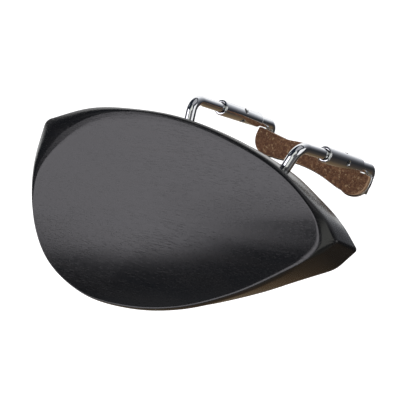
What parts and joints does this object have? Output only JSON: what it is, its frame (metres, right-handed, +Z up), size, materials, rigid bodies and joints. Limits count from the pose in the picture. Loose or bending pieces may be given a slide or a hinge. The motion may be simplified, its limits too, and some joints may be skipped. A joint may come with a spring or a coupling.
{
  "type": "violin chinrest",
  "caption": "Black hardwood violin chinrest: a dished oval cup with pointed wing ends, held to the instrument's edge by a chromed screw-barrel clamp with cork pads.",
  "frame": {"origin": "on the violin's top surface at its edge, midway between the two clamp legs", "axes": "+X along the violin's edge towards the cup's narrow end, +Y off the violin past its edge, +Z up out of the violin's top"},
  "size_m": [0.1282, 0.0776, 0.058],
  "materials": {
    "ebony": "polished, nearly black, with fine open pores",
    "chrome": "bright plated steel",
    "cork": "matt granulated cork"
  },
  "bodies": {
    "rest": {"cup": "ebony", "heel_cork_left": "cork", "heel_cork_right": "cork", "upper_leg_left": "chrome", "upper_leg_right": "chrome"},
    "left_barrel": {"barrel_left": "chrome"},
    "right_barrel": {"barrel_right": "chrome"},
    "foot": {"foot_post_left": "chrome", "foot_post_right": "chrome", "foot_plate": "chrome", "foot_cork": "cork"}
  },
  "joints": [
    {"name": "left_barrel_turn", "type": "hinge", "parent": "rest", "child": "left_barrel", "pos_m": [-0.02195, 0.006, -0.0188], "axis": [0, 0, 1], "range_deg": [-1543, 1286]},
    {"name": "right_barrel_turn", "type": "hinge", "parent": "rest", "child": "right_barrel", "pos_m": [0.02195, 0.006, -0.0188], "axis": [0, 0, 1], "range_deg": [-1543, 1286]},
    {"name": "foot_slide", "type": "slide", "parent": "rest", "child": "foot", "axis": [0, 0, 1], "range_m": [-0.006, 0.005]}
  ],
  "couplings": [
    {"joint": "left_barrel_turn", "follows": "foot_slide", "rad_per_m": 4488},
    {"joint": "right_barrel_turn", "follows": "foot_slide", "rad_per_m": 4488}
  ]
}
